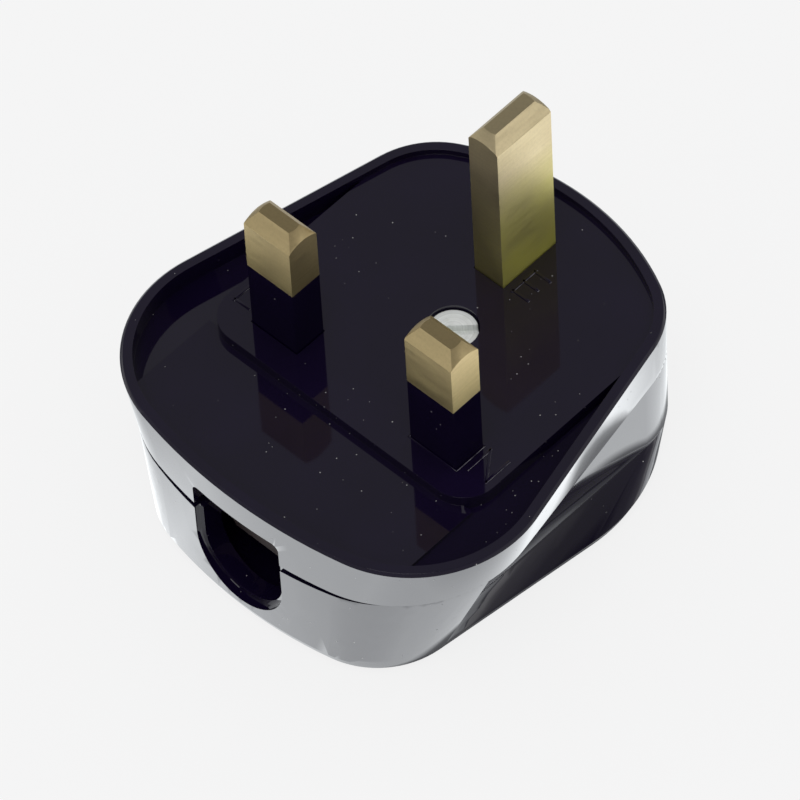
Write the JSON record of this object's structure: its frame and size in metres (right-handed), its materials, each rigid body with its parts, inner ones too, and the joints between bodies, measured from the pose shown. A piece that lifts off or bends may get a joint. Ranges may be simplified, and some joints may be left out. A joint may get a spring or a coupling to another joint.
{
  "type": "rewireable three pin plug",
  "caption": "Black rewireable mains plug with flat brass pins, sleeved line and neutral pins, a raised rim, a flared cover with finger grips and a round ended cord entry.",
  "frame": {"origin": "on the pin face, midway between the line and neutral pins", "axes": "+X from the line pin to the neutral pin, +Y to the earth pin, +Z out of the pin face along the pins; the plug lies on its cover with its pins up"},
  "size_m": [0.0502, 0.0523, 0.042],
  "materials": {
    "moulding": "polished black moulding",
    "sleeve": "black, slightly softer than the moulding",
    "pin_brass": "satin, brushed along the pin",
    "terminal_brass": "drawn brass, lightly tarnished",
    "spring_brass": "rolled strip",
    "zinc_steel": "bright zinc plate with turning marks",
    "nickel": "nickel plate",
    "ceramic": "unglazed ceramic",
    "fuse_wire": "drawn wire",
    "fibre": "dark red vulcanised fibre"
  },
  "bodies": {
    "root": {"base_moulding": "moulding", "cover_moulding": "moulding", "earth_pin": "pin_brass", "neutral_pin": "pin_brass", "line_pin": "pin_brass", "neutral_pin_sleeve": "sleeve", "line_pin_sleeve": "sleeve", "cover_screw": "zinc_steel", "cover_screw_insert": "terminal_brass", "cover_screw_retainer": "fibre", "fuse_body": "ceramic", "fuse_cap_pin_side": "nickel", "fuse_cap_terminal_side": "nickel", "fuse_element": "fuse_wire", "fuse_clip_pin_side": "spring_brass", "fuse_clip_terminal_side": "spring_brass", "fuse_clip_rivet_pin_side": "terminal_brass", "fuse_clip_rivet_terminal_side": "terminal_brass", "line_terminal_block": "terminal_brass", "line_terminal_screw": "zinc_steel", "neutral_terminal_screw": "zinc_steel", "earth_terminal_screw": "zinc_steel", "cord_grip_strap": "fibre", "cord_grip_screw_left": "zinc_steel", "cord_grip_screw_right": "zinc_steel"}
  },
  "joints": []
}
